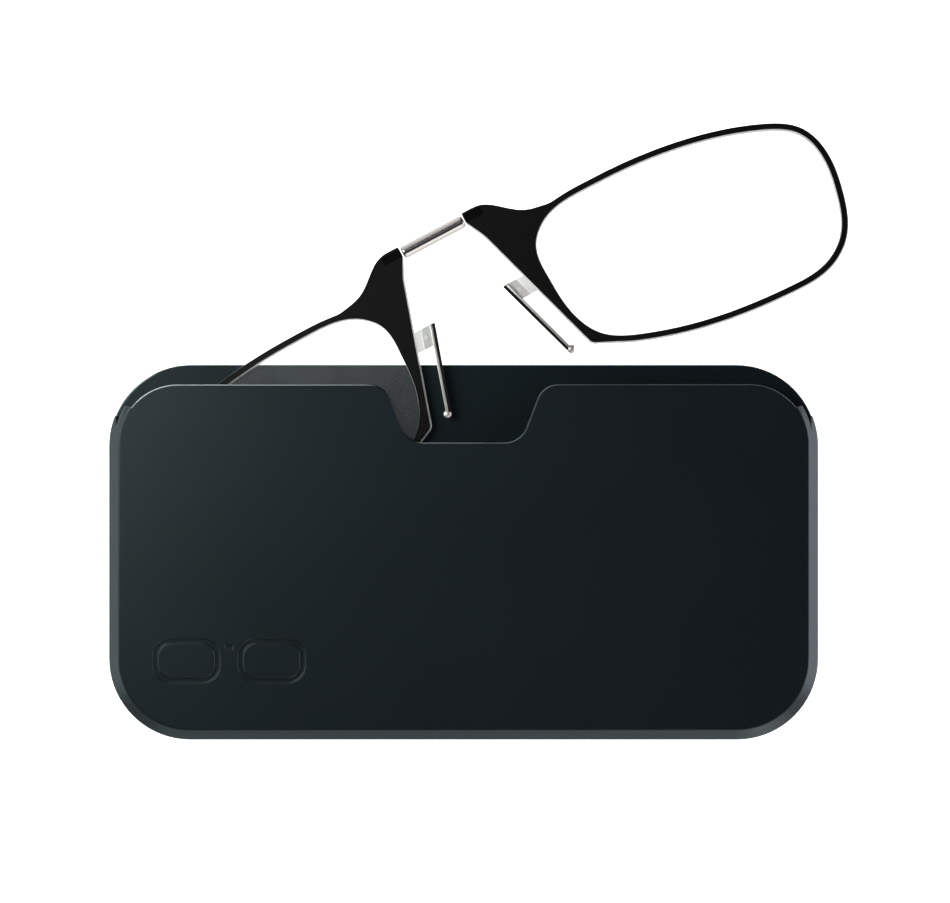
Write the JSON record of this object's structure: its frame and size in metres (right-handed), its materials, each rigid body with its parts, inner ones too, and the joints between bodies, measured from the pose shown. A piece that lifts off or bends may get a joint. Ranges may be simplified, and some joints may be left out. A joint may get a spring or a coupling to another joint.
{
  "type": "armless folding reading glasses with pocket case",
  "caption": "Armless reading glasses with a sprung bridge and flexing nose pads, half drawn out of a thin flat pocket case with a finger notch.",
  "frame": {"origin": "middle of the adhesive pad's outer face, on the back of the case", "axes": "+X along the case's long side, +Y out of the case's mouth, +Z out of the case's front"},
  "size_m": [0.1168, 0.0974, 0.0044],
  "materials": {
    "adhesive": "matt foam tape",
    "case_plastic": "fine satin",
    "bridge_metal": "polished",
    "spring_metal": "drawn wire",
    "clear_plastic": "clear moulded",
    "rim_black": "smooth black",
    "lens_clear": "polished, clear",
    "socket_black": "matt black",
    "pad_metal": "satin",
    "pad_rubber": "matt"
  },
  "bodies": {
    "case": {"case_back_shell": "case_plastic", "case_front_cover": "case_plastic", "adhesive_pad": "adhesive"},
    "left_half": {"left_frame": "clear_plastic", "left_rim_layer": "rim_black", "left_lens": "lens_clear", "left_bridge_socket": "socket_black", "left_wire_end": "spring_metal"},
    "bridge": {"bridge_tube": "bridge_metal", "bridge_wire": "spring_metal"},
    "right_half": {"right_frame": "clear_plastic", "right_rim_layer": "rim_black", "right_lens": "lens_clear", "right_bridge_socket": "socket_black", "right_wire_end": "spring_metal"},
    "left_pad": {"left_pad_strip": "pad_metal", "left_pad_block": "clear_plastic", "left_pad_grip": "pad_rubber", "left_pad_tip": "pad_metal"},
    "right_pad": {"right_pad_strip": "pad_metal", "right_pad_block": "clear_plastic", "right_pad_grip": "pad_rubber", "right_pad_tip": "pad_metal"}
  },
  "joints": [
    {"name": "pull_out", "type": "slide", "parent": "case", "child": "left_half", "axis": [0.08, 0.9968, 0], "range_m": [-0.014, 0.04]},
    {"name": "fold_left", "type": "hinge", "parent": "left_half", "child": "bridge", "pos_m": [-0.00974, 0.04721, 0.0024], "axis": [0, 0, 1], "range_deg": [-17, 8], "stiffness_Nm_per_rad": 0.02},
    {"name": "fold_right", "type": "hinge", "parent": "bridge", "child": "right_half", "pos_m": [0.00007, 0.0524, 0.0024], "axis": [0, 0, 1], "range_deg": [-17, 8], "stiffness_Nm_per_rad": 0.02},
    {"name": "left_pad_flex", "type": "hinge", "parent": "left_half", "child": "left_pad", "pos_m": [-0.00615, 0.03192, 0.0024], "axis": [0, 0, -1], "range_deg": [0, 6], "stiffness_Nm_per_rad": 0.005},
    {"name": "right_pad_flex", "type": "hinge", "parent": "right_half", "child": "right_pad", "pos_m": [0.01068, 0.04081, 0.0024], "axis": [0, 0, 1], "range_deg": [0, 6], "stiffness_Nm_per_rad": 0.005}
  ]
}
